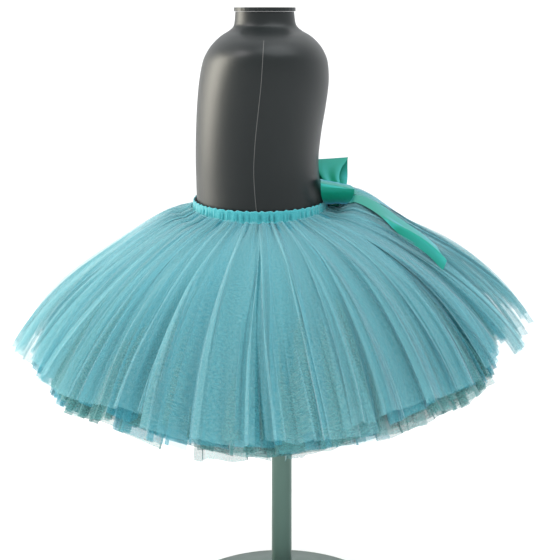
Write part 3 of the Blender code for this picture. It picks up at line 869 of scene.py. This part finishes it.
def build_seam(side, finish):
    """The thin seam down the form's side."""
    rows = [row for row in smooth_path(FORM_SECTIONS, FORM_ROWS) if row[0] < SEAM_TOP]
    points = []
    for row in rows:
        for offset, grown in SEAM_ROWS:
            angle = SEAM_ANGLE + offset if side > 0 else math.pi - SEAM_ANGLE - offset
            points.append(form_point(row, angle, grown))
    faces = grid_faces(len(rows), len(SEAM_ROWS)).tolist()
    if side < 0:
        faces = [tuple(reversed(face)) for face in faces]
    return add_mesh(f"form_seam_{'left' if side > 0 else 'right'}", points, faces, finish)


def turned(name, profile, finish):
    """A surface turned about the Z axis from (radius, height) points listed from the axis outwards."""
    points = [
        (radius * math.cos(TAU * i / TURNED_SIDES), radius * math.sin(TAU * i / TURNED_SIDES), height)
        for i in range(TURNED_SIDES)
        for radius, height in profile
    ]
    faces = [tuple(reversed(face)) for face in grid_faces(TURNED_SIDES, len(profile), around=True).tolist()]
    made = add_mesh(name, points, faces, finish)
    made.data.set_sharp_from_angle(angle=math.radians(TURNED_SHARP_ANGLE))
    return made


def build_backdrop(finish):
    """The floor, which runs up into a plain wall."""
    profile = [(FLOOR_FRONT, 0.0), (FLOOR_BACK, 0.0)]
    for bend in np.linspace(FLOOR_BEND_START, math.pi / 2, FLOOR_BEND_ROWS):
        profile.append((FLOOR_BACK - FLOOR_BEND * math.sin(bend), FLOOR_BEND - FLOOR_BEND * math.cos(bend)))
    profile.append((FLOOR_BACK - FLOOR_BEND, WALL_TOP))
    points = [(x, y, z - FLOOR_GAP) for x, z in profile for y in (-FLOOR_HALF_WIDTH, FLOOR_HALF_WIDTH)]
    faces = [(2 * i, 2 * i + 1, 2 * i + 3, 2 * i + 2) for i in range(len(profile) - 1)]
    return add_mesh("backdrop", points, faces, finish)


def add_light(name, place, target, size, power, colour, seen):
    data = bpy.data.lights.new(name, "AREA")
    data.shape = "SQUARE"
    data.size = size
    data.energy = power
    data.color = colour
    light = bpy.data.objects.new(name, data)
    light.location = place
    light.rotation_euler = (Vector(target) - Vector(place)).to_track_quat("-Z", "Y").to_euler()
    light.visible_camera = seen
    bpy.context.scene.collection.objects.link(light)


def add_daylight():
    world = bpy.data.worlds.new("soft daylight")
    world.use_nodes = True
    world.node_tree.nodes["Background"].inputs["Color"].default_value = DAYLIGHT
    world.node_tree.nodes["Background"].inputs["Strength"].default_value = DAYLIGHT_STRENGTH
    bpy.context.scene.world = world


def add_camera():
    data = bpy.data.cameras.new("camera")
    data.sensor_width = CAMERA_SENSOR
    data.lens = CAMERA_LENS
    camera = bpy.data.objects.new("camera", data)
    camera.location = CAMERA_PLACE
    camera.rotation_euler = CAMERA_AIM.to_track_quat("-Z", "Y").to_euler()
    bpy.context.scene.collection.objects.link(camera)
    bpy.context.scene.camera = camera


finishes = {
    "sheer": net_material("sheer tulle", (0.110, 0.395, 0.455), (0.255, 0.530, 0.550), 0.36, 0.55),
    "dense": net_material("tulle", (0.044, 0.322, 0.395), (0.084, 0.392, 0.470), 0.48, 0.55),
    "lower": net_material("lower tulle", (0.080, 0.255, 0.250), (0.120, 0.325, 0.320), 0.58, 0.45),
}
casing_tulle = net_material("casing tulle", (0.035, 0.340, 0.370), (0.085, 0.43, 0.47), 0.97, 0.45)
satin = satin_material()
cover = plain_material("form jersey", (0.005, 0.008, 0.008), 0.42, specular=0.36)
seam_thread = plain_material("seam thread", (0.10, 0.10, 0.095), 0.5)
steel = plain_material("brushed steel", (0.080, 0.130, 0.112), 0.30, metallic=1.0)
paper = plain_material("backdrop paper", (0.96, 0.96, 0.96), 0.9, specular=0.1)

slits = waist_slits()
for ply in PLIES:
    made = build_ply(ply, finishes[ply["finish"]], slits)
    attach(made, "root")
    if ply["replaces"]:
        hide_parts(ply["replaces"])

casing = build_casing(casing_tulle, slits)
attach(casing, "root")
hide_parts("waistband")

knot = build_knot(satin)
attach(knot, "root")
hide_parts("bow_knot")
for loop in LOOPS:
    made = build_loop(loop, satin)
    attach(made, "root")
    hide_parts(loop["replaces"])
for tail in TAILS:
    made = build_tail(tail, satin)
    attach(made, "root")
    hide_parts(tail["replaces"])

form = build_form(cover)
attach(form, "root")
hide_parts("dress_form")
for side in (1, -1):
    seam = build_seam(side, seam_thread)
    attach(seam, "root")

pole = turned("smooth_pole", POLE_PROFILE, steel)
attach(pole, "root")
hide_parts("pole")
base = turned("smooth_base", BASE_PROFILE, steel)
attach(base, "root")
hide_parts("stand_base")

for name, finish in (("neck_cap", cover), ("form_flange", steel)):
    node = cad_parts[name]
    node.data.materials.clear()
    node.data.materials.append(finish)

backdrop = build_backdrop(paper)
add_daylight()
for light in LIGHTS:
    add_light(**light)
add_camera()

bpy.context.scene.view_settings.view_transform = "Standard"
bpy.context.scene.cycles.transparent_max_bounces = 48
bpy.context.scene.cycles.max_bounces = 8
bpy.context.scene.cycles.diffuse_bounces = 4
